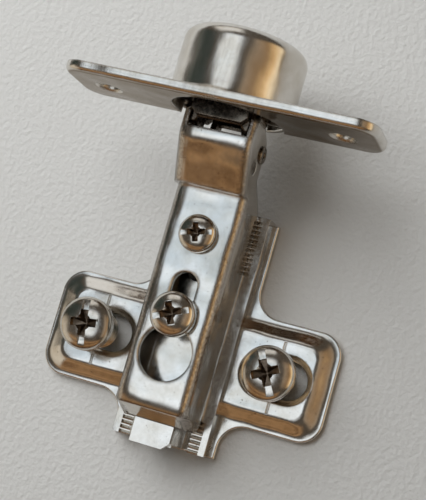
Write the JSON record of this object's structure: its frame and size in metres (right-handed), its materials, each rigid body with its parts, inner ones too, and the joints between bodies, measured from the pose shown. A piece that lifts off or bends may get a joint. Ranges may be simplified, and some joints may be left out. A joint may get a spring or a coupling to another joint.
{
  "type": "concealed cabinet hinge",
  "caption": "Nickel-plated concealed cabinet hinge: drawn cup with screw flange, cranked two-link arm and winged mounting plate with its screws, closed.",
  "frame": {"origin": "midway between the mounting plate's two screw slots, on the plane the plate rests on", "axes": "+X along the arm towards the cup, +Y towards the left wing, +Z away from the mounting surface"},
  "size_m": [0.0667, 0.0524, 0.0268],
  "materials": {
    "plated_sheet": "nickel plated, satin",
    "plated_screw": "nickel plated, bright",
    "pin_steel": "bright",
    "spring_steel": "oiled"
  },
  "bodies": {
    "plate": {"mounting_plate": "plated_sheet", "plate_screw_left": "plated_screw", "plate_screw_right": "plated_screw"},
    "arm": {"hinge_arm": "plated_sheet", "outer_arm_pin": "pin_steel", "inner_arm_pin": "pin_steel", "closing_spring": "spring_steel"},
    "fixing_screw": {"fixing_screw": "plated_screw"},
    "overlay_screw": {"overlay_screw": "plated_screw"},
    "outer_link": {"outer_link": "plated_sheet"},
    "inner_link": {"inner_link": "plated_sheet"},
    "cup": {"hinge_cup": "plated_sheet", "outer_cup_pin_left": "pin_steel", "outer_cup_pin_right": "pin_steel", "inner_cup_pin": "pin_steel"}
  },
  "joints": [
    {"name": "depth_slide", "type": "slide", "parent": "plate", "child": "arm", "axis": [1, 0, 0], "range_m": [-0.003, 0.002]},
    {"name": "fixing_turn", "type": "hinge", "parent": "plate", "child": "fixing_screw", "pos_m": [0.0048, 0, 0.012], "axis": [0, 0, 1], "continuous": true},
    {"name": "overlay_turn", "type": "hinge", "parent": "arm", "child": "overlay_screw", "pos_m": [0.0184, 0, 0.012], "axis": [0, 0, 1], "continuous": true},
    {"name": "outer_swing", "type": "hinge", "parent": "arm", "child": "outer_link", "pos_m": [0.03068, 0, 0.01502], "axis": [0, 1, 0], "range_deg": [0, 32.02], "stiffness_Nm_per_rad": 0.05, "springref_deg": -60.16},
    {"name": "inner_swing", "type": "hinge", "parent": "arm", "child": "inner_link", "pos_m": [0.0335, 0, 0.0126], "axis": [0, 1, 0], "range_deg": [0, 66]},
    {"name": "cup_turn", "type": "hinge", "parent": "outer_link", "child": "cup", "pos_m": [0.04029, 0, 0.01038], "axis": [0, 1, 0], "range_deg": [0, 63.1]}
  ],
  "couplings": [
    {"joint": "inner_swing", "follows": "outer_swing", "ratio": 2.0586},
    {"joint": "cup_turn", "follows": "outer_swing", "ratio": 1.9672}
  ]
}
